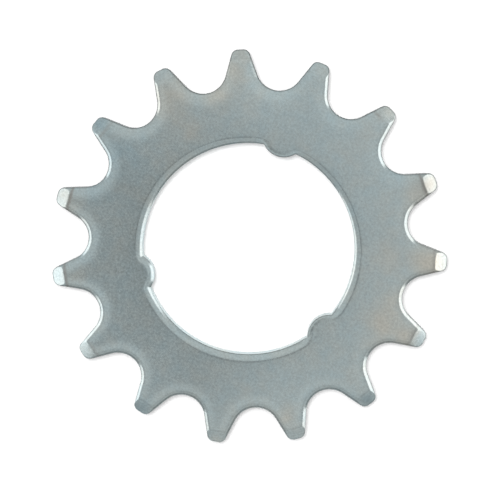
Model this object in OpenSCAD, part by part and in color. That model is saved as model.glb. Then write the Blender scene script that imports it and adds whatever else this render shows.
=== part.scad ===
// Single speed chain cog for a hub driver with three slots.
// One flat plate of plated steel: chain teeth round the outside, a bore with lugs inside.
// Lengths are in millimetres and angles in degrees. The plate lies on its back face, with
// its axis along Z, the middle of one tooth on +Y and the rolled front edges on top.

/* [Chain] */
// Chain pitch, from roller to roller
chain_pitch = 12.7; // [12.4:0.1:13]
// Diameter of the chain's rollers
roller_d = 7.75; // [7.5:0.05:8]

/* [Teeth] */
// Number of teeth
teeth = 15; // [14:1:22]
// Room between a roller and the wall of its seat
seat_clearance = 0.05; // [0:0.01:0.15]
// Height of the tooth tips above the pitch circle
tip_height = 2.45; // [2:0.05:2.7]
// Angle between a flank and the middle line of its tooth
flank_angle = 17.5; // [14:0.5:19]
// Radius of the two corners of a tooth tip, seen from the front
tip_corner_r = 1.1; // [0.5:0.05:1.2]
// Width of the bevel on both faces of the tooth tips
bevel_width = 2.1; // [1.5:0.1:2.4]
// Depth of that bevel where it meets the tip
bevel_depth = 0.8; // [0.4:0.05:1]

/* [Plate] */
// Thickness of the plate
thickness = 3; // [2.4:0.1:3.4]
// Width of the rolled edge along the tooth gaps, on the front face
gap_roll_width = 0.65; // [0.4:0.05:0.8]
// Depth of that rolled edge
gap_roll_depth = 0.55; // [0.4:0.05:0.8]

/* [Bore] */
// Diameter of the bore between the lugs
bore_d = 35.2; // [33:0.1:37]
// Width of the rolled edge round the bore, on the front face
bore_roll_width = 1.2; // [0.6:0.05:1.3]
// Depth of that rolled edge
bore_roll_depth = 0.5; // [0.45:0.05:0.8]
// Number of lugs
lug_count = 3; // [2:1:4]
// How far the lugs reach in from the bore's wall
lug_height = 1.45; // [1:0.05:1.6]
// Radius of a lug's rounded end, seen from the front
lug_r = 3.6; // [3:0.1:4.2]
// Width and depth of the rolled edge round a lug's end
lug_roll = 0.45; // [0.2:0.05:0.6]
// Angle from the tooth on +Y to the first lug
lug_turn = 4.4; // [-12:0.1:12]

/* [Hidden] */
$fn = 96;

// How far a cutting shape runs past the faces that it cuts
cut_margin = 1;
// How far it runs past the two ends of a rolled edge's arc
roll_lap = 0.1;
// Turn of a rolled edge's arc, from the face to the wall
roll_arc = 40;
// Turn by which the rolled edge of a seat runs on into those of its flanks
seat_lap = 8;

tooth_step = 360 / teeth;
pitch_r = chain_pitch / 2 / sin(tooth_step / 2);
tip_r = pitch_r + tip_height;
bevel_r = tip_r - bevel_width;
bore_r = bore_d / 2;
lug_step = 360 / lug_count;

// A tooth gap is drawn with its middle line on +Y: a round seat on the pitch circle, with
// a straight flank leaving it on each side
seat_r = roller_d / 2 + seat_clearance;
seat_center = [0, pitch_r];
flank_lean = flank_angle + tooth_step / 2;
flank_way = [sin(flank_lean), cos(flank_lean)];
into_tooth = [cos(flank_lean), -sin(flank_lean)];
flank_start = seat_center + seat_r * into_tooth;
flank_length = 2 * (tip_height + cut_margin);
flank_end = flank_start + flank_length * flank_way;

// The arc of a tip corner touches the flank and the tip circle
corner_line_start = flank_start + tip_corner_r * into_tooth;
corner_line_rise = corner_line_start * flank_way;
corner_along = sqrt(corner_line_rise ^ 2 - corner_line_start * corner_line_start
                    + (tip_r - tip_corner_r) ^ 2) - corner_line_rise;
corner_center = corner_line_start + corner_along * flank_way;

// A lug's end is an arc round lug_center_r, from one corner at the bore's wall to the other
lug_center_r = bore_r - lug_height + lug_r;
lug_half_arc = acos((lug_r ^ 2 + lug_center_r ^ 2 - bore_r ^ 2) / (2 * lug_r * lug_center_r));

// Section of what is cut from an edge to roll it over: the wall is on the Y axis, the
// material to its right, and the front face at the given height
module roll_section(width, depth, face_z) {
    chord = sqrt(width ^ 2 + depth ^ 2);
    arc_r = chord / 2 / sin(roll_arc / 2);
    arc_inset = arc_r * cos(roll_arc / 2);
    arc_center = [width / 2 + arc_inset * depth / chord,
                  face_z - depth / 2 - arc_inset * width / chord];
    difference() {
        translate([-cut_margin, face_z - depth - roll_lap])
            square([cut_margin + width + roll_lap, roll_lap + depth + cut_margin]);
        translate(arc_center) circle(r = arc_r);
    }
}

// The round blank, with its rim bevelled on both faces
module blank() {
    rotate_extrude()
        polygon([[0, 0], [bevel_r, 0], [tip_r, bevel_depth],
                 [tip_r, thickness - bevel_depth], [bevel_r, thickness], [0, thickness]]);
}

// What the corner of a tooth tip loses to its arc
module corner_offcut() {
    tip_way = corner_center / norm(corner_center);
    reach = tip_corner_r + cut_margin;
    difference() {
        polygon([corner_center,
                 corner_center - reach * into_tooth,
                 corner_center - reach * into_tooth + 2 * reach * flank_way,
                 corner_center + 2 * reach * tip_way]);
        translate(corner_center) circle(r = tip_corner_r);
    }
}

// Outline of one tooth gap, with the arcs of the tip corners on its two sides
module gap_outline() {
    translate(seat_center) circle(r = seat_r);
    polygon([flank_start, flank_end, [-flank_end.x, flank_end.y], [-flank_start.x, flank_start.y]]);
    for (side = [0, 1])
        mirror([side, 0]) corner_offcut();
}

// One tooth gap, cut right through the plate
module tooth_gap() {
    translate([0, 0, -cut_margin])
        linear_extrude(thickness + 2 * cut_margin) gap_outline();
}

// The rolled front edge of one tooth gap: round the seat and along both flanks
module gap_roll() {
    seat_half_arc = 90 - flank_lean + seat_lap;
    translate(seat_center)
        rotate(-90 - seat_half_arc)
            rotate_extrude(angle = 2 * seat_half_arc)
                translate([seat_r, 0]) roll_section(gap_roll_width, gap_roll_depth, thickness);
    for (side = [0, 1])
        mirror([side, 0, 0])
            translate(flank_end)
                rotate([90, 0, -flank_lean])
                    linear_extrude(flank_length)
                        roll_section(gap_roll_width, gap_roll_depth, thickness);
}

// The round ends of the lugs, as pillars through the plate
module lug_pillars() {
    for (i = [0 : lug_count - 1])
        rotate(90 + lug_turn + i * lug_step)
            translate([lug_center_r, 0, -2 * cut_margin])
                cylinder(h = thickness + 4 * cut_margin, r = lug_r);
}

// The bore, cut right through the plate between the lugs
module bore() {
    difference() {
        translate([0, 0, -cut_margin])
            cylinder(h = thickness + 2 * cut_margin, r = bore_r);
        lug_pillars();
    }
}

// The rolled front edge of the bore, which stops at the lugs
module bore_roll() {
    difference() {
        rotate_extrude()
            translate([bore_r, 0]) roll_section(bore_roll_width, bore_roll_depth, thickness);
        lug_pillars();
    }
}

// The rolled front edges of the lugs' ends
module lug_rolls() {
    for (i = [0 : lug_count - 1])
        rotate(90 + lug_turn + i * lug_step)
            translate([lug_center_r, 0, 0])
                rotate(180 - lug_half_arc)
                    rotate_extrude(angle = 2 * lug_half_arc)
                        translate([lug_r, 0])
                            mirror([1, 0]) roll_section(lug_roll, lug_roll, thickness);
}

// The whole plate
module sprocket() {
    color("#98a1a5")
        difference() {
            blank();
            for (i = [0 : teeth - 1])
                rotate((i + 1 / 2) * tooth_step) {
                    tooth_gap();
                    gap_roll();
                }
            bore();
            bore_roll();
            lug_rolls();
        }
}

sprocket();
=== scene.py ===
# Single speed chain cog of zinc-plated steel, lying on its back face on a pale floor.
# Lengths are in millimetres and angles in degrees until they go to Blender, whose unit is the metre.
import math

import bmesh
import bpy
import numpy as np
from mathutils import Matrix, Vector
from mathutils.geometry import delaunay_2d_cdt
from mathutils.kdtree import KDTree


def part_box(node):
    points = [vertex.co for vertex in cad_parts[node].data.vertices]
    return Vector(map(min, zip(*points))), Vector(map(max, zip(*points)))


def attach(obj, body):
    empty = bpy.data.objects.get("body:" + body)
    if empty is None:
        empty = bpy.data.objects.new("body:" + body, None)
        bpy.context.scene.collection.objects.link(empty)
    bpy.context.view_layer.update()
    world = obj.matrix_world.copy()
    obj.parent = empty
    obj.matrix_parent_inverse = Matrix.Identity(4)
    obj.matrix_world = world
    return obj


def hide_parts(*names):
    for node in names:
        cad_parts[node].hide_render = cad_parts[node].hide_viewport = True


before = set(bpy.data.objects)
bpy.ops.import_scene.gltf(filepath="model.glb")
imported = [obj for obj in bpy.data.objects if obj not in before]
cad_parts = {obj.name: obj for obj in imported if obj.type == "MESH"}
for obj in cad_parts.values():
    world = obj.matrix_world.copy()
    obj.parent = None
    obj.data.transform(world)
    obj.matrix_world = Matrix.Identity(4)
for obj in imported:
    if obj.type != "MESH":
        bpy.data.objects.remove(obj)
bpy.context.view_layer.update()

MM = 0.001
NODE = "sprocket"
low_corner, high_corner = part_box(NODE)

# Sizes of the cog, as in the solid
TEETH = 15
CHAIN_PITCH = 12.7
SEAT_R = 3.925
FLANK_ANGLE = 17.5
TIP_CORNER_R = 1.1
BEVEL_WIDTH = 2.1
BEVEL_DEPTH = 0.8
BORE_R = 17.6
LUGS = 3
LUG_HEIGHT = 1.45
LUG_R = 3.6
LUG_TURN = 4.4
# The solid's round rims are made of short straight sides, and the tips stay inside them by this much
TIP_ROOM = 0.003
TIP_R = high_corner[1] / MM - TIP_ROOM
THICKNESS = (high_corner[2] - low_corner[2]) / MM

tooth_step = 360 / TEETH
lug_step = 360 / LUGS
pitch_r = CHAIN_PITCH / 2 / math.sin(math.radians(tooth_step / 2))
bevel_r = TIP_R - BEVEL_WIDTH

# Sections of the front edges: pairs of a distance from the wall and the slope of the surface there.
# Round the gaps the last three pairs are a gentle dip of the face, past the rolled edge itself
GAP_EDGE = (
    (0, 46), (0.08, 40), (0.25, 34), (0.42, 26), (0.55, 14), (0.68, 5),
    (1.3, 2.2), (1.9, 0.8), (2.4, 0),
)
BORE_EDGE = ((0, 48), (0.12, 40), (0.3, 32), (0.47, 24), (0.65, 13), (1.05, 7), (1.22, 0))
LUG_EDGE = ((0, 45), (0.06, 32), (0.14, 15), (0.26, 5), (0.5, 2), (0.9, 0))
WORN_LUG_EDGE = ((0, 36), (0.2, 32), (0.5, 27), (0.75, 14), (1.1, 0))
FRONT_BREAK = ((0, 60), (0.08, 50), (0.16, 0))
# Widths of the rolled edges
GAP_ROLL_WIDTH = 0.66
BORE_ROLL_WIDTH = 1.2
LUG_ROLL_WIDTH = 0.85
# The rolled edge of the bore is narrower by this share on one side, at this angle from the picture's right
BORE_NARROWING = 0.3
NARROW_ANGLE = 55
# Width over which a bevel turns out of the face
BEVEL_SOFT = 0.36
# Distances from the start of a bevel at which the rolled edge of a gap begins to fade and is gone
ROLL_FADE = (0.9, 1.9)
# Small break of the edges on the back
BACK_BREAK = 0.1
# Fillet at the foot of a lug
LUG_FILLET = 0.3
# Angles from the middle of a lug between which its edge turns into that of the bore
LUG_FADE = (8.5, 13)
# How sharply a rolled edge and a bevel meet
BLEND_POWER = 6
# Steps in which the slopes of an edge are added up
PROFILE_STEPS = 400

# Spacing of the mesh along the outlines, along the bevels and over the faces
SEAT_SPACING = 0.22
FLANK_SPACING = 0.13
CORNER_SPACING = 0.11
BORE_SPACING = 0.25
LUG_SPACING = 0.125
FILLET_SPACING = 0.075
BEVEL_SPACING = 0.14
FRONT_SPACING = 0.42
BACK_SPACING = 1.3
# How far the mesh's rows along a bevel reach to both sides of a tooth's middle
BEVEL_REACH = SEAT_R
# Rows of the mesh along the edges: distances from the wall round the teeth, shares of the rolled
# edge's width round the bore, distances from the wall on the back, and shares of the wall's height
TOOTH_ROWS = (0, 0.04, 0.08, 0.13, 0.18, 0.26, 0.36, 0.48, 0.6, 0.74, 0.9)
BORE_ROWS = (0, 0.03, 0.1, 0.16, 0.25, 0.36, 0.43, 0.5, 0.7, 0.86, 0.93, 1, 1.08, 1.25)
BACK_ROWS = (0, 0.5 * BACK_BREAK, BACK_BREAK, 1.4 * BACK_BREAK, 0.4)
WALL_ROWS = (0.02, 0.3, 0.7, 0.98)
# At the tips the rows of the teeth draw together to this share of their distances
TIP_ROW_SHARE = 0.55
# Blender's triangulation: the kind that fills the whole hull, and how close points may be to count as one
HULL_TRIANGLES = 0
SAME_POINT = 1e-6
# Columns of a station of an outline: its place, the unit vector into the steel, and its share of rolling
PLACE = slice(0, 2)
INTO = slice(2, 4)
SHARE = 4

# Marks of the painted shade lines where a rolled edge or a bevel begins: their widths, and how strong each
# is. That of the lugs is painted only towards the top of the picture
LINE_WIDTH = 0.14
BORE_LINE_WIDTH = 0.2
GAP_LINE = 0.15
BORE_LINE = 0.66
LUG_LINE = 0.4
BEVEL_LINE = 0.12
# Strength of the faint darker tail of the bore's painted shade line over the face, and how far it reaches
CREASE_TAIL = 0.2
CREASE_REACH = 1
# Marks of the painted shade along the walls' top edges. Round the teeth it is 1 at both sides of the
# picture, more by this much at its top and less by this much at its foot. The bore's is strongest at the
# foot
RIM_WIDTH = 0.1
UPPER_RIM = 1
LOWER_RIM = 0.6
LUG_RIM = 1.4
WORN_LUG_RIM = 0.4
BORE_RIM = 1.2
# Marks of the walls: painted shade round the teeth, and painted light in the bore and on its lugs
TOOTH_WALL = 1.5
LUG_WALL = -0.7
BORE_WALL = -1
# Width of the burr beside a bevel, and its distance from the bevel's start
BURR_WIDTH = 0.24
BURR_INSET = 0.12

# How the picture is taken: the turn of the cog in it, the camera's distance, its lean from straight above
# towards the right and the top of the picture, the picture's width and centre, and the sensor's width
PICTURE_TURN = -21.67
CAMERA_DISTANCE = 330
LEAN_RIGHT = 1.6
LEAN_UP = 5.5
PICTURE_WIDTH = 83.2
PICTURE_CENTER = (0.22, -0.24)
SENSOR = 36

# Tints of the plating: soft round spots, by millimetres to the right and up of the axis in the picture,
# radius, and how much warmer they are than the rest, or cooler where that is negative
TINTS = (
    (-2.5, 29.3, 2, 0.35),
    (-12, 26, 2.6, 0.42),
    (-5.5, 25.6, 2.4, 0.38),
    (-9.5, 19.3, 2, 0.35),
    (-13.5, 22, 2.6, 0.2),
    (-28.5, 7, 2, 0.2),
    (-28.5, -4.6, 2, 0.2),
    (28, 9, 2.4, 0.45),
    (30.3, 11, 1.5, 0.4),
    (22.5, -1.5, 3.2, 0.3),
    (29.5, -2, 2.8, 0.65),
    (22.3, -12.3, 2.8, 0.55),
    (26.3, -14.3, 2.2, 0.4),
    (24, -8.6, 2.4, 0.28),
    (6.5, -28.3, 1.6, 0.4),
    (-20, 14, 3.2, -0.22),
    (-25, 9.3, 2.6, -0.22),
    (-23, 17, 2, -0.12),
    (12.8, 21, 1.8, -0.1),
    (24.3, 12.5, 1.8, -0.15),
    (-4.3, -25, 1.8, -0.12),
    (-25, 2, 3, -0.15),
    (-18.1, -26.8, 1.6, -0.25),
    (19.9, -25.5, 1.6, -0.25),
    (-24.7, 20.8, 1.6, -0.25),
    (28.7, -15, 1.4, -0.2),
    (-1.3, 32.3, 1.5, 0.15),
    (-31, 8.9, 1.4, 0.15),
    (-5.4, -32, 1.4, 0.2),
    (12.2, 29.9, 1.4, 0.1),
    (23.2, 22.4, 1.4, 0.15),
)
# Painted light and shade, in the same way: lighter spots, or darker where the last number is negative
LIGHT_AND_SHADE_SPOTS = (
    (2, 26, 6, 0.085),
    (6, -24, 7, 0.06),
    (-21, 11.5, 4, -0.07),
    (-9, -22, 4, -0.06),
    (25, 1, 5, -0.035),
    (-22, -8, 4, 0.035),
    (-18.1, -26.8, 1.4, -0.2),
    (19.9, -25.5, 1.4, -0.26),
    (-24.7, 20.8, 1.4, -0.12),
    (-27.4, -17.1, 1.4, 0.04),
    (23.2, 22.4, 1.4, 0.24),
    (-31, 8.9, 1.4, -0.17),
    (30.6, 11.3, 1.3, -0.12),
    (32.3, -2, 1.3, -0.06),
    (28.2, 10.3, 1.6, -0.08),
    (29.2, 10.8, 0.7, -0.16),
    (28.8, 11.8, 0.7, -0.16),
    (29.6, 9.8, 0.7, -0.16),
    (28, -14, 0.9, -0.08),
    (-1.3, 32.3, 1.4, -0.1),
    (-5.4, -32, 1.4, 0.06),
    (-16, -18, 3, 0.03),
)
# Places where a burr at the start of a bevel shows, in the same way
BEVEL_BURRS = (
    (-29.8, 8.4, 3, 0.8),
    (-30.6, -4.5, 3, 0.7),
    (-23.9, 19.7, 2, 0.4),
    (29, 10.7, 3, 0.7),
    (30.8, -2, 3, 0.35),
    (27.3, -14.3, 2, 0.45),
    (-26.1, -16.5, 2.5, 0.3),
    (21.3, 22.3, 1.2, 0.4),
)

# Colours of the plating and of its burrs
COOL_ZINC = (0.331, 0.434, 0.467, 1)
WARM_ZINC = (0.46, 0.455, 0.405, 1)
BURR_COLOR = (0.24, 0.225, 0.205, 1)
# Noises of the plating: spots to the millimetre, and how many finer layers lie on them. Patches and
# clouds change its tint, and mottle and grain its tone. Shear marks are on the walls, and the fade lets
# the painted shade lines come and go
PATCH_NOISE = (0.1, 2)
CLOUD_NOISE = (0.45, 2)
MOTTLE_NOISE = (0.8, 2)
GRAIN_NOISE = (2.75, 3)
SHEAR_NOISE = (5, 2)
FADE_NOISE = (0.12, 1)
# Turning lines to the millimetre on the bevels
TURNING_SCALE = 7
# Middle of a noise's values
NOISE_MIDDLE = 0.5
# Share of the warm colour all over, the most that patches add to it, and how far clouds change it
BASE_WARMTH = 0.31
PATCH_WARMTH = 0.1
CLOUD_WARMTH = 0.5
# How far grain, mottle and turning lines change the tone
GRAIN_CONTRAST = 0.5
MOTTLE_CONTRAST = 0.06
TURNING_CONTRAST = 0.25
# How far the painted shade of lines and rims with the mark 1 darkens it; a negative mark paints light
LINE_DARK = 0.34
RIM_DARK = 0.45
# Values of a noise between which patches begin and are full
PATCH_RANGE = (0.42, 0.66)
# The same for the fade, with the strength of the painted shade lines there
FADE_RANGE = ((0.35, 0.65), (0.4, 1.15))
# How far up or down a surface faces where it is a wall and where it isn't, with the share of wall there
WALL_RANGE = ((0.15, 0.5), (1, 0))
# Roughness of the face, and what the grain and the walls add to it
FACE_ROUGHNESS = 0.2
GRAIN_ROUGHNESS = 0.06
WALL_ROUGHNESS = 0.15
# Heights of the grain, of the turning lines and of the shear marks
GRAIN_HEIGHT = 0.0015
TURNING_HEIGHT = 0.0015
SHEAR_HEIGHT = 0.004

# The floor: half its width, its colour, and how much it glows to the eye
FLOOR_HALF = 2000
FLOOR_COLOR = (0.4, 0.4, 0.4, 1)
FLOOR_GLOW = 0.34
# Colours of the light: overhead, from the sides of the room, and from the side boxes
WHITE = (1, 1, 1, 1)
SIDE_LIGHT = (0.9, 0.895, 0.893, 1)
SOFT_WARM = (1, 0.92, 0.9, 1)
# How far up a way points where the light from the sides begins and ends to turn into that from overhead
SIDE_TURN = (0.7, 0.95)
# The room has a dim patch overhead: its middle and edge, in the picture's directions, and the light's level
# inside and outside it
DIM_CENTER = (-0.065, -0.098)
DIM_EDGE = (0.048, 0.084)
WORLD_LEVELS = (0.045, 0.98)
# A ring round the patch is a little darker too: distances from the patch's middle at which it begins and
# ends, and how far towards the top of the picture it reaches, with its darkness
RING_START = ((0.16, 0.28), (0, 1))
RING_END = ((0.5, 0.7), (1, 0))
RING_SIDE = ((-0.1, 0.06), (0.22, 0))
# So is the room low down on the side nearest to the foot of the picture: how far up and how far towards the
# top of the picture a way points, with the darkness there
LOW_PART = ((0.25, 0.7), (0.5, 0))
NEAR_PART = ((-0.35, 0.2), (1, 0))
# Lamps: places and targets are to the right and up of the axis in the picture, and above the back face.
# A brightness of 1 is that of a white card, and hidden names the kind of ray that doesn't see the lamp
LAMPS = {
    "left_box": {
        "place": (-97, -12, 44),
        "target": (0, -12, 44),
        "size": (116, 64),
        "brightness": 1.55,
        "color": SOFT_WARM,
        "hidden": "visible_diffuse",
    },
    "right_box": {
        "place": (97, 0, 57),
        "target": (0, 0, 57),
        "size": (119, 106),
        "brightness": 1.65,
        "color": SOFT_WARM,
        "hidden": "visible_diffuse",
    },
    "top_box": {
        "place": (0, 450, 400),
        "target": (0, 0, 0),
        "size": (500, 400),
        "brightness": 0.1,
        "color": WHITE,
    },
    "key": {
        "place": (-65, 145, 690),
        "target": (0, 0, 0),
        "size": (180, 180),
        "brightness": 62,
        "color": WHITE,
        "hidden": "visible_glossy",
    },
}


def way(angle):
    """Unit vector at an angle from +X."""
    return np.array([math.cos(math.radians(angle)), math.sin(math.radians(angle))])


# Directions in the picture, and that in which the bore's rolled edge is narrowest
picture_right = Vector((*way(-PICTURE_TURN), 0))
picture_up = Vector((*way(90 - PICTURE_TURN), 0))
straight_up = Vector((0, 0, 1))
narrow_way = way(NARROW_ANGLE - PICTURE_TURN)


def angle_of(vector):
    """Angle of a vector from +X."""
    return math.degrees(math.atan2(vector[1], vector[0]))


def from_axis(points):
    """Distances of points from the axis of the cog."""
    return np.hypot(points[:, 0], points[:, 1])


def picture_place(points):
    """How far points lie to the right and up of the axis in the picture."""
    return [points[:, :2] @ np.array(direction)[:2] for direction in (picture_right, picture_up)]


def picture_height(points):
    """How far towards the top of the picture points lie from the axis: 1 straight above it, -1 below."""
    return picture_place(points)[1] / from_axis(points)


def from_picture(right, up, height):
    """A point or way in the picture's own directions, in metres."""
    return (picture_right * right + picture_up * up + straight_up * height) * MM


def turned(stations, angle):
    """Stations turned about the axis of the cog."""
    cosine, sine = way(angle)
    turn = np.array([[cosine, sine], [-sine, cosine]])
    return np.hstack([stations[:, PLACE] @ turn, stations[:, INTO] @ turn, stations[:, SHARE:]])


def mirrored(stations, flipped):
    """Stations in reverse order, with x (flipped 0) or y (flipped 1) of the other sign."""
    signs = np.ones(stations.shape[1])
    signs[[flipped, INTO.start + flipped]] = -1
    return stations[::-1] * signs


def arc(center, radius, start, end, spacing, steel_side):
    """Stations along an arc, both ends included, still without their shares of rolling.
    steel_side is 1 where the steel lies outside the arc's circle and -1 where it lies inside."""
    count = max(2, math.ceil(abs(math.radians(end - start)) * radius / spacing) + 1)
    angles = np.radians(np.linspace(start, end, count))
    out = np.column_stack([np.cos(angles), np.sin(angles)])
    return np.column_stack([np.asarray(center) + radius * out, steel_side * out])


def line(start, end, into_steel, spacing):
    """The same along a straight stretch."""
    count = max(2, math.ceil(np.linalg.norm(end - start) / spacing) + 1)
    steps = np.linspace(0, 1, count)[:, None]
    points = start + steps * (end - start)
    return np.column_stack([points, np.tile(into_steel, (count, 1))])


def chained(stretches):
    """Stretches in a row, each without its last station, which is the next one's first."""
    return np.vstack([stretch[:-1] for stretch in stretches])


def all_round(stations, shares, angles):
    """Stations with their shares of rolling, repeated at angles about the axis of the cog."""
    whole = np.column_stack([stations, shares])
    return np.vstack([turned(whole, angle) for angle in angles])


def outer_stations():
    """Round the teeth. The share is 1 along seats and flanks, where the edge is rolled, and 0 at tips."""
    lean = FLANK_ANGLE + tooth_step / 2
    into_tooth = way(-lean)
    flank_way = way(90 - lean)
    seat_center = np.array([0, pitch_r])
    flank_start = seat_center + SEAT_R * into_tooth
    corner_start = flank_start + TIP_CORNER_R * into_tooth
    rise = corner_start @ flank_way
    reach = math.sqrt(rise**2 - corner_start @ corner_start + (TIP_R - TIP_CORNER_R) ** 2) - rise
    corner_center = corner_start + reach * flank_way
    flank_end = corner_center - TIP_CORNER_R * into_tooth
    tip_angle = angle_of(corner_center)
    half_gap = [
        arc(seat_center, SEAT_R, -90, -lean, SEAT_SPACING, 1),
        line(flank_start, flank_end, into_tooth, FLANK_SPACING),
        arc(corner_center, TIP_CORNER_R, 180 - lean, tip_angle, CORNER_SPACING, -1),
        arc((0, 0), TIP_R, tip_angle, 90 - tooth_step / 2, CORNER_SPACING, -1),
    ]
    one_pitch = chained([mirrored(stretch, 0) for stretch in half_gap[::-1]] + half_gap)
    shares = np.interp(from_axis(one_pitch) - bevel_r, ROLL_FADE, (1, 0))
    return all_round(one_pitch, shares, [tooth_step * (1 / 2 - i) for i in range(TEETH)])


def inner_stations():
    """Round the bore and its lugs. The share is 1 along the bore and 0 along the lugs."""
    lug_center_r = BORE_R - LUG_HEIGHT + LUG_R
    fillet_center_r = BORE_R - LUG_FILLET
    foot_cosine = fillet_center_r**2 + lug_center_r**2 - (LUG_R + LUG_FILLET) ** 2
    foot = math.degrees(math.acos(foot_cosine / (2 * fillet_center_r * lug_center_r)))
    lug_center = np.array([lug_center_r, 0])
    fillet_center = fillet_center_r * way(-foot)
    to_lug = angle_of(lug_center - fillet_center)
    into_lug = arc(fillet_center, LUG_FILLET, -foot, to_lug, FILLET_SPACING, 1)
    one_lug = chained([
        into_lug,
        arc(lug_center, LUG_R, 180 + to_lug, 180 - to_lug, LUG_SPACING, -1),
        mirrored(into_lug, 1),
        arc((0, 0), BORE_R, foot, lug_step - foot, BORE_SPACING, 1),
    ])
    turn = np.degrees(np.arctan2(one_lug[:, 1], one_lug[:, 0])) % lug_step
    shares = np.interp(np.minimum(turn, lug_step - turn), LUG_FADE, (0, 1))
    return all_round(one_lug, shares, [90 + LUG_TURN + i * lug_step for i in range(LUGS)])


def edge_drop(section, distance):
    """How far an edge lies below the face, at a distance from its wall: its slopes, added up."""
    distances, slopes = np.array(section, float).T
    steps = np.linspace(0, distances[-1], PROFILE_STEPS)
    slope = np.tan(np.radians(np.interp(steps, distances, slopes)))
    step = steps[1] - steps[0]
    rise = np.concatenate([[0], np.cumsum((slope[1:] + slope[:-1]) / 2 * step)])
    return np.interp(distance, steps, rise[-1] - rise)


def bevel_drop(points):
    """How far the tip bevels lie below the faces at points."""
    past = np.clip(from_axis(points) - bevel_r + BEVEL_SOFT / 2, 0, None)
    turning = np.minimum(past, BEVEL_SOFT)
    return (turning**2 / (2 * BEVEL_SOFT) + past - turning) * BEVEL_DEPTH / BEVEL_WIDTH


def deeper(one, other):
    """The deeper of two drops, with a small blend where they meet."""
    return (one**BLEND_POWER + other**BLEND_POWER) ** (1 / BLEND_POWER)


def line_mark(distance, width):
    """1 on a line and falling to 0 beside it."""
    return np.exp(-((distance / width) ** 2))


def bevel_shade_mark(points):
    """Mark of the painted shade line where a bevel begins."""
    return BEVEL_LINE * line_mark(from_axis(points) - bevel_r, LINE_WIDTH)


def crease_shade_mark(distance):
    """Mark of the painted shade line at the foot of the bore's rolled edge, with a faint darker tail over
    the face.
    """
    tail = CREASE_TAIL * np.exp(-np.clip(distance, 0, None) / CREASE_REACH) * (distance > 0)
    return np.maximum(line_mark(distance, BORE_LINE_WIDTH), tail)


def bore_width_share(points):
    """Share of its full width that the rolled edge of the bore has beside each point."""
    toward = points @ narrow_way / from_axis(points)
    return 1 - BORE_NARROWING * np.clip(toward, 0, None) ** 2


def bore_roll_width(points, share):
    """Width of the rolled edge beside each point, round the bore and its lugs."""
    return share * bore_width_share(points) * BORE_ROLL_WIDTH + (1 - share) * LUG_ROLL_WIDTH


def tooth_front(points, distance, share):
    """Drop, and the marks of the painted shade lines and rims, of the front near the teeth."""
    rolled = share * edge_drop(GAP_EDGE, distance)
    drop = deeper(rolled, bevel_drop(points)) + (1 - share) * edge_drop(FRONT_BREAK, distance)
    # Painted shade line where the rolled edge of a gap begins
    on_gap = GAP_LINE * share * line_mark(distance - GAP_ROLL_WIDTH, LINE_WIDTH)
    height = picture_height(points)
    # Painted shade on the rim, darker towards the top of the picture and lighter towards its foot
    rim = 1 + UPPER_RIM * np.clip(height, 0, None) + LOWER_RIM * np.clip(height, None, 0)
    return drop, np.maximum(bevel_shade_mark(points), on_gap), rim * line_mark(distance, RIM_WIDTH)


def bore_front(points, distance, share):
    """The same near the bore. The lug at the left of the picture is worn."""
    narrow = bore_width_share(points)
    rolled = narrow * edge_drop(BORE_EDGE, distance / narrow)
    worn = picture_place(points)[0] < -BORE_R / 2
    lug = np.where(worn, edge_drop(WORN_LUG_EDGE, distance), edge_drop(LUG_EDGE, distance))
    drop = share * rolled + (1 - share) * lug
    height = picture_height(points)
    # Painted shade: the lugs' line only towards the top of the picture, the bore's rim towards its foot
    strength = share * BORE_LINE + (1 - share) * LUG_LINE * np.clip(height, 0, None)
    bore_rim = BORE_RIM * np.clip(-height, 0, None)
    rim = np.where(worn, WORN_LUG_RIM, LUG_RIM) * (1 - share) + bore_rim * share
    crease_shade = strength * crease_shade_mark(distance - bore_roll_width(points, share))
    return drop, crease_shade, rim * line_mark(distance, RIM_WIDTH)


def front_height(points, distance):
    """Height of the front face at points, at distances from the walls round the teeth."""
    return THICKNESS - deeper(bevel_drop(points), edge_drop(GAP_EDGE, distance))


def back_height(points, distance):
    """The same for the back, at distances from a wall."""
    return np.maximum(bevel_drop(points), np.maximum(0, BACK_BREAK - distance))


class Mesh:
    """Points, marks and faces of a mesh that is being put together."""

    def __init__(self):
        self.points = []
        self.marks = []
        self.faces = []
        self.count = 0

    def add(self, flat, heights, marks):
        """Adds points and returns their numbers."""
        self.points.append(np.column_stack([flat, heights]))
        self.marks.append(np.column_stack(marks))
        start = self.count
        self.count += len(flat)
        return np.arange(start, self.count)

    def strip(self, first, second):
        """Joins two closed rows of points with four-sided faces."""
        after = (np.roll(first, -1), np.roll(second, -1))
        self.faces.extend(np.column_stack([first, after[0], after[1], second]).tolist())


def edge_strips(mesh, stations, offsets, front, wall_mark):
    """Adds one closed edge, from the front over the wall to the back. Returns its first and last row."""
    flat = stations[:, PLACE]
    into = stations[:, INTO]
    zeros = np.zeros(len(flat))
    rows = []
    for offset in offsets[::-1]:
        points = flat + into * offset[:, None]
        drop, lines, rim = front(points, offset, stations[:, SHARE])
        rows.append(mesh.add(points, THICKNESS - drop, (lines, rim)))
    top = THICKNESS - drop
    bottom = back_height(flat, zeros)
    for step in WALL_ROWS:
        # The walls carry their mark in the rim column: painted shade round the teeth, painted light in the
        # bore
        rows.append(mesh.add(flat, top + step * (bottom - top), (zeros, zeros + wall_mark)))
    for distance in BACK_ROWS:
        points = flat + into * distance
        rows.append(mesh.add(points, back_height(points, distance), (zeros, zeros)))
    for first, second in zip(rows, rows[1:]):
        mesh.strip(first, second)
    return rows[0], rows[-1]


def tree_of(points):
    """Search tree over the places of points or stations."""
    tree = KDTree(len(points))
    for i, point in enumerate(points):
        tree.insert((point[0], point[1], 0), i)
    tree.balance()
    return tree


def nearest(tree, point):
    """Place, number and distance of the member of a tree that lies nearest to a point."""
    return tree.find((point[0], point[1], 0))


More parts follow.
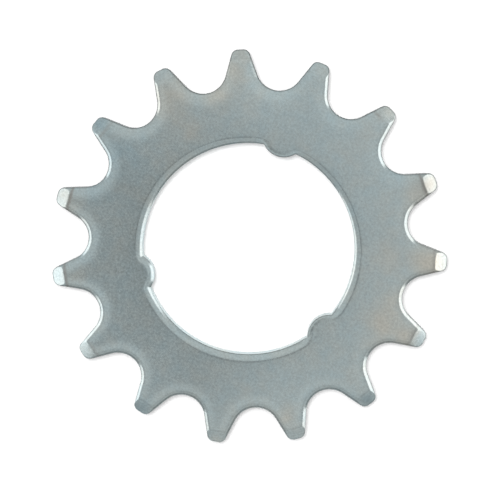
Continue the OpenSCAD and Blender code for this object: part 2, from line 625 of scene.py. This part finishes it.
def steel_distance(tree, stations, point):
    """Distance of a point from an outline, negative outside the steel."""
    place, number, distance = nearest(tree, point)
    into = stations[number, INTO]
    side = (point[0] - place[0]) * into[0] + (point[1] - place[1]) * into[1]
    return math.copysign(distance, side)


def is_clear(point, room, borders):
    """True where a point lies in the steel, past the strips along its edges and with room to them."""
    for outline, outline_tree, rim_tree in borders:
        rim_place, number, to_rim = nearest(rim_tree, point)
        strip_width = nearest(outline_tree, rim_place)[2]
        if to_rim < room or steel_distance(outline_tree, outline, point) < strip_width:
            return False
    return True


def grid_points(spacing):
    """Points of a grid of equal triangles over the whole plate."""
    row_gap = spacing * math.sqrt(3) / 2
    half = math.ceil(TIP_R / row_gap)
    found = []
    for row in range(-half, half + 1):
        columns = np.arange(-TIP_R, TIP_R, spacing) + (row % 2) * spacing / 2
        found.append(np.column_stack([columns, np.full(len(columns), row * row_gap)]))
    return np.vstack(found)


def bevel_rows():
    """Three rows of points along the start of each tooth's bevel."""
    count = math.ceil(2 * BEVEL_REACH / BEVEL_SPACING)
    rows = []
    for tooth in range(TEETH):
        for radius in (bevel_r - BEVEL_SOFT / 2, bevel_r, bevel_r + BEVEL_SOFT / 2):
            half = math.degrees(BEVEL_REACH / radius)
            angles = np.linspace(-half, half, count + 1) + 90 + tooth * tooth_step
            rows.append(np.array([radius * way(angle) for angle in angles]))
    return rows


def face_points(borders, spacing, first):
    """Points over a face, numbered from first on, and the edges that join those along the bevels."""
    inside = []
    edges = []
    bevels = bevel_rows()
    for row in bevels:
        last = None
        for point in row:
            new = None
            if is_clear(point, BEVEL_SPACING / 2, borders):
                new = first + len(inside)
                inside.append(point)
                if last is not None:
                    edges.append((last, new))
            last = new
    bevel_tree = tree_of(np.vstack(bevels))
    for point in grid_points(spacing):
        beside_bevel = nearest(bevel_tree, point)[2] <= BEVEL_SOFT / 2
        if not beside_bevel and is_clear(point, spacing / 2, borders):
            inside.append(point)
    return np.array(inside), edges


def fill_face(mesh, rims, outlines, spacing, height):
    """Fills a face between its outer and inner rim with triangles, whose edges follow the bevels."""
    numbers = np.concatenate(rims)
    rim_points = np.vstack(mesh.points)[numbers, :2]
    outer_count = len(rims[0])
    # The rim round the teeth runs clockwise, and a face has to run the other way
    loops = [list(range(outer_count))[::-1], list(range(outer_count, len(numbers)))]
    rim_trees = [tree_of(points) for points in (rim_points[:outer_count], rim_points[outer_count:])]
    outline_trees = [tree_of(outline) for outline in outlines]
    borders = list(zip(outlines, outline_trees, rim_trees))
    inside, edges = face_points(borders, spacing, len(numbers))
    gap_distance, bore_distance = [
        np.array([steel_distance(tree, outline, point) for point in inside])
        for tree, outline in zip(outline_trees, outlines)
    ]
    # Painted shade lines of the bore's rolled edge and of the bevels, over the face
    on_bore = BORE_LINE * crease_shade_mark(bore_distance - bore_roll_width(inside, 1))
    marks = (np.maximum(bevel_shade_mark(inside), on_bore), np.zeros(len(inside)))
    numbers = np.append(numbers, mesh.add(inside, height(inside, gap_distance), marks))
    flat = [Vector(point) for point in np.vstack([rim_points, inside])]
    found = delaunay_2d_cdt(flat, edges, loops, HULL_TRIANGLES, SAME_POINT, True)
    triangles, sources, origins = found[2], found[3], found[5]
    for triangle, origin in zip(triangles, origins):
        # A triangle of the face lies in the outer loop alone, one in the bore in both, one in a gap in none
        if origin == [0]:
            mesh.faces.append([int(numbers[sources[corner][0]]) for corner in triangle])


def cog_mesh():
    """The whole cog, closed all round."""
    mesh = Mesh()
    outlines = (outer_stations(), inner_stations())
    outer_share, inner_share = [outline[:, SHARE] for outline in outlines]
    tooth_scale = TIP_ROW_SHARE + (1 - TIP_ROW_SHARE) * outer_share
    tooth_offsets = [distance * tooth_scale for distance in TOOTH_ROWS]
    bore_scale = bore_roll_width(outlines[1][:, PLACE], inner_share)
    bore_offsets = [share * bore_scale for share in BORE_ROWS]
    # Painted light on the walls of the bore and its lugs
    bore_walls = inner_share * BORE_WALL + (1 - inner_share) * LUG_WALL
    outer_rims = edge_strips(mesh, outlines[0], tooth_offsets, tooth_front, TOOTH_WALL)
    inner_rims = edge_strips(mesh, outlines[1], bore_offsets, bore_front, bore_walls)
    front_rims, back_rims = zip(outer_rims, inner_rims)
    fill_face(mesh, front_rims, outlines, FRONT_SPACING, front_height)
    fill_face(mesh, back_rims, outlines, BACK_SPACING, back_height)
    return mesh


def spots_at(points, spots):
    """How strongly soft spots cover each point."""
    right, up = picture_place(points)
    cover = np.zeros(len(points))
    for spot_right, spot_up, radius, strength in spots:
        beside = (right - spot_right) ** 2 + (up - spot_up) ** 2
        cover += strength * np.exp(-beside / radius**2)
    return cover


def add_marks(data, mesh):
    """Gives the points of a Blender mesh the marks that the plating reads, among them painted light and
    shade.
    """
    points = np.vstack(mesh.points)
    lines, rims = np.vstack(mesh.marks).T
    at_bevel = line_mark(from_axis(points) - bevel_r + BURR_INSET, BURR_WIDTH)
    marks = {
        # Painted shade lines where rolled edges and bevels begin
        "crease_shade": lines,
        # Painted shade on the rims, and painted light where the mark of the bore's walls is negative
        "rim": rims,
        "tint": spots_at(points, TINTS),
        # Painted light and shade in lighter and darker spots
        "light_and_shade": spots_at(points, LIGHT_AND_SHADE_SPOTS),
        "burr": spots_at(points, BEVEL_BURRS) * at_bevel,
    }
    for name, values in marks.items():
        attribute = data.attributes.new(name, "FLOAT", "POINT")
        attribute.data.foreach_set("value", np.ascontiguousarray(values, np.float32))


def add_object(name, data):
    """A new object in the scene."""
    made = bpy.data.objects.new(name, data)
    bpy.context.scene.collection.objects.link(made)
    return made


def add_cog():
    """The cog as one object, with its marks."""
    mesh = cog_mesh()
    data = bpy.data.meshes.new("cog")
    data.from_pydata((np.vstack(mesh.points) * MM).tolist(), [], mesh.faces)
    add_marks(data, mesh)
    solid = bmesh.new()
    solid.from_mesh(data)
    bmesh.ops.recalc_face_normals(solid, faces=solid.faces)
    solid.to_mesh(data)
    solid.free()
    data.shade_smooth()
    return add_object("cog", data)


class Nodes:
    """Short ways to add and join the nodes of a material or a world."""

    # Sockets of Blender's Mix node when it mixes colours
    MIX_SHARE = 0
    MIX_ONE = 6
    MIX_OTHER = 7
    MIX_RESULT = 2

    def __init__(self, owner):
        owner.use_nodes = True
        self.tree = owner.node_tree

    def add(self, kind, inputs=None, **settings):
        """A new node."""
        node = self.tree.nodes.new("ShaderNode" + kind)
        for name, value in settings.items():
            setattr(node, name, value)
        self.put(node, inputs or {})
        return node

    def put(self, node, inputs):
        """Gives a node its inputs: values, or the outputs of other nodes."""
        for name, value in inputs.items():
            if isinstance(value, bpy.types.NodeSocket):
                self.tree.links.new(value, node.inputs[name])
            else:
                node.inputs[name].default_value = value

    def math(self, operation, one, other=0.0):
        """A calculation with numbers, by Blender's name for it."""
        return self.add("Math", {0: one, 1: other}, operation=operation).outputs[0]

    def plus(self, one, other):
        """One number and another."""
        return self.math("ADD", one, other)

    def times(self, one, other):
        """One number times another."""
        return self.math("MULTIPLY", one, other)

    def darkened(self, level, dark):
        """A level, lowered by a share of it."""
        return self.times(level, self.math("SUBTRACT", 1, dark))

    def vector(self, operation, one, other, output="Vector"):
        """The same with vectors."""
        return self.add("VectorMath", {0: one, 1: other}, operation=operation).outputs[output]

    def scaled(self, value, old, new):
        """A value moved smoothly from one range into another."""
        ends = {"Value": value, "From Min": old[0], "From Max": old[1], "To Min": new[0], "To Max": new[1]}
        return self.add("MapRange", ends, interpolation_type="SMOOTHSTEP").outputs["Result"]

    def noise(self, place, scale, detail):
        """Soft noise, with about as many spots to the millimetre as its scale says."""
        inputs = {"Vector": place, "Scale": scale, "Detail": detail}
        return self.add("TexNoise", inputs).outputs["Fac"]

    def rings(self, distance, scale):
        """The same in rings round an axis, by the distance from it."""
        inputs = {"W": distance, "Scale": scale}
        return self.add("TexNoise", inputs, noise_dimensions="1D").outputs["Fac"]

    def mark(self, name):
        """A value that the mesh holds at each point."""
        return self.add("Attribute", attribute_name=name).outputs["Fac"]

    def mixed(self, share, one, other):
        """One colour, or the other where the share is 1."""
        inputs = {self.MIX_SHARE: share, self.MIX_ONE: one, self.MIX_OTHER: other}
        return self.add("Mix", inputs, data_type="RGBA").outputs[self.MIX_RESULT]

    def shaded(self, color, shade):
        """A colour times a number."""
        return self.add("VectorMath", {0: color, "Scale": shade}, operation="SCALE").outputs["Vector"]


def zinc():
    """Clear zinc plating on steel: pale bluish grey with a fine grain and soft warm patches, with painted
    light and shade from the mesh's marks.
    """
    material = bpy.data.materials.new("zinc_plate")
    nodes = Nodes(material)
    place = nodes.vector("MULTIPLY", nodes.add("TexCoord").outputs["Object"], (1 / MM, 1 / MM, 1 / MM))
    flat_place = nodes.vector("MULTIPLY", place, (1, 1, 0))
    radius = nodes.vector("LENGTH", flat_place, (0, 0, 0), "Value")
    facing = nodes.add("SeparateXYZ", {0: nodes.add("NewGeometry").outputs["Normal"]}).outputs["Z"]
    wall = nodes.scaled(nodes.math("ABSOLUTE", facing), *WALL_RANGE)
    on_bevel = nodes.scaled(radius, (bevel_r, bevel_r + LINE_WIDTH), (0, 1))

    patches = nodes.scaled(nodes.noise(place, *PATCH_NOISE), PATCH_RANGE, (0, PATCH_WARMTH))
    clouds = nodes.noise(place, *CLOUD_NOISE)
    mottle = nodes.noise(place, *MOTTLE_NOISE)
    grain = nodes.noise(place, *GRAIN_NOISE)
    turning = nodes.rings(radius, TURNING_SCALE)
    shear = nodes.noise(flat_place, *SHEAR_NOISE)
    fade = nodes.scaled(nodes.noise(place, *FADE_NOISE), *FADE_RANGE)

    warmth = nodes.plus(nodes.mark("tint"), BASE_WARMTH - NOISE_MIDDLE * CLOUD_WARMTH)
    warmth = nodes.plus(warmth, nodes.times(clouds, CLOUD_WARMTH))
    warmth = nodes.plus(warmth, patches)
    plating = nodes.mixed(nodes.mark("burr"), nodes.mixed(warmth, COOL_ZINC, WARM_ZINC), BURR_COLOR)

    lowest_shade = 1 - NOISE_MIDDLE * (GRAIN_CONTRAST + MOTTLE_CONTRAST)
    shade = nodes.plus(lowest_shade, nodes.times(grain, GRAIN_CONTRAST))
    shade = nodes.plus(shade, nodes.times(mottle, MOTTLE_CONTRAST))
    streaks = nodes.times(nodes.math("SUBTRACT", turning, NOISE_MIDDLE), on_bevel)
    shade = nodes.plus(shade, nodes.times(streaks, TURNING_CONTRAST))
    # Painted light and shade: the lighter and darker spots
    shade = nodes.times(shade, nodes.plus(1, nodes.mark("light_and_shade")))
    # Painted shade lines where rolled edges and bevels begin, coming and going with the fade
    crease_shade = nodes.times(nodes.mark("crease_shade"), fade)
    # Painted shade along the rims, and painted light on the walls of the bore and its lugs, whose mark is
    # negative
    for mark, dark in ((crease_shade, LINE_DARK), (nodes.mark("rim"), RIM_DARK)):
        shade = nodes.darkened(shade, nodes.times(mark, dark))

    lowest_roughness = FACE_ROUGHNESS - NOISE_MIDDLE * GRAIN_ROUGHNESS
    roughness = nodes.plus(lowest_roughness, nodes.times(grain, GRAIN_ROUGHNESS))
    roughness = nodes.plus(roughness, nodes.times(wall, WALL_ROUGHNESS))

    height = nodes.times(grain, GRAIN_HEIGHT * MM)
    for relief, mark, size in ((turning, on_bevel, TURNING_HEIGHT), (shear, wall, SHEAR_HEIGHT)):
        height = nodes.plus(height, nodes.times(nodes.times(relief, mark), size * MM))
    bump = nodes.add("Bump", {"Height": height, "Strength": 1, "Distance": 1})

    nodes.put(nodes.tree.nodes["Principled BSDF"], {
        "Metallic": 1,
        "Base Color": nodes.shaded(plating, shade),
        "Roughness": roughness,
        "Normal": bump.outputs["Normal"],
    })
    return material


def add_camera():
    """The camera of the picture, aimed at the middle of the cog's height."""
    data = bpy.data.cameras.new("camera")
    data.sensor_width = SENSOR
    data.lens = SENSOR * CAMERA_DISTANCE / PICTURE_WIDTH
    camera = add_object("camera", data)
    lean = [math.tan(math.radians(angle)) for angle in (LEAN_RIGHT, LEAN_UP)]
    backward = from_picture(*lean, 1).normalized()
    sideways = picture_up.cross(backward).normalized()
    upward = backward.cross(sideways)
    place = from_picture(*PICTURE_CENTER, THICKNESS / 2) + backward * CAMERA_DISTANCE * MM
    turn = Matrix((sideways, upward, backward)).transposed().to_4x4()
    camera.matrix_world = Matrix.Translation(place) @ turn
    bpy.context.scene.camera = camera


def add_soft_box(name, place, target, size, brightness, color, hidden=None):
    """A rectangular lamp, aimed from one place at another."""
    data = bpy.data.lights.new(name, "AREA")
    data.shape = "RECTANGLE"
    data.size = size[0] * MM
    data.size_y = size[1] * MM
    data.color = color[:3]
    data.energy = brightness * math.pi * data.size * data.size_y
    lamp = add_object(name, data)
    lamp.location = from_picture(*place)
    backward = lamp.location - from_picture(*target)
    lamp.rotation_euler = backward.to_track_quat("Z", "Y").to_euler()
    if hidden:
        setattr(lamp, hidden, False)


def add_floor():
    """A white floor that keeps the shadow of the cog."""
    data = bpy.data.meshes.new("floor")
    half = FLOOR_HALF * MM
    corners = [(-half, -half), (half, -half), (half, half), (-half, half)]
    data.from_pydata([(x, y, low_corner[2]) for x, y in corners], [], [(0, 1, 2, 3)])
    floor = add_object("floor", data)
    material = bpy.data.materials.new("floor_white")
    nodes = Nodes(material)
    path = nodes.add("LightPath").outputs
    seen = path["Is Camera Ray"]
    for other in ("Is Glossy Ray", "Is Transmission Ray"):
        seen = nodes.math("MAXIMUM", seen, path[other])
    nodes.put(nodes.tree.nodes["Principled BSDF"], {
        "Base Color": FLOOR_COLOR,
        "Roughness": 1,
        "Specular IOR Level": 0,
        "Emission Color": WHITE,
        "Emission Strength": nodes.times(seen, FLOOR_GLOW),
    })
    data.materials.append(material)


def add_world():
    """Soft studio light from all round, with the dim patch overhead, the ring round it and the low part."""
    world = bpy.data.worlds.new("studio")
    bpy.context.scene.world = world
    nodes = Nodes(world)
    toward = nodes.add("TexCoord").outputs["Generated"]
    across = nodes.vector("DOT_PRODUCT", toward, picture_right, "Value")
    upward = nodes.vector("DOT_PRODUCT", toward, picture_up, "Value")
    height = nodes.add("SeparateXYZ", {0: toward}).outputs["Z"]
    place = nodes.add("CombineXYZ", {"X": across, "Y": upward}).outputs["Vector"]
    beside = nodes.vector("DISTANCE", place, (*DIM_CENTER, 0), "Value")
    overhead = nodes.scaled(height, SIDE_TURN, (0, 1))
    low = nodes.times(nodes.scaled(height, *LOW_PART), nodes.scaled(upward, *NEAR_PART))
    ring = nodes.times(nodes.scaled(beside, *RING_START), nodes.scaled(beside, *RING_END))
    ring = nodes.times(ring, nodes.scaled(upward, *RING_SIDE))
    level = nodes.scaled(beside, DIM_EDGE, WORLD_LEVELS)
    for dark in (low, ring):
        level = nodes.darkened(level, dark)
    color = nodes.mixed(overhead, SIDE_LIGHT, WHITE)
    nodes.put(nodes.tree.nodes["Background"], {"Color": color, "Strength": level})


piece = add_cog()
piece.data.materials.append(zinc())
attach(piece, "root")
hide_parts(NODE)

add_camera()
add_floor()
add_world()
for name, settings in LAMPS.items():
    add_soft_box(name, **settings)
bpy.context.scene.view_settings.view_transform = "Standard"
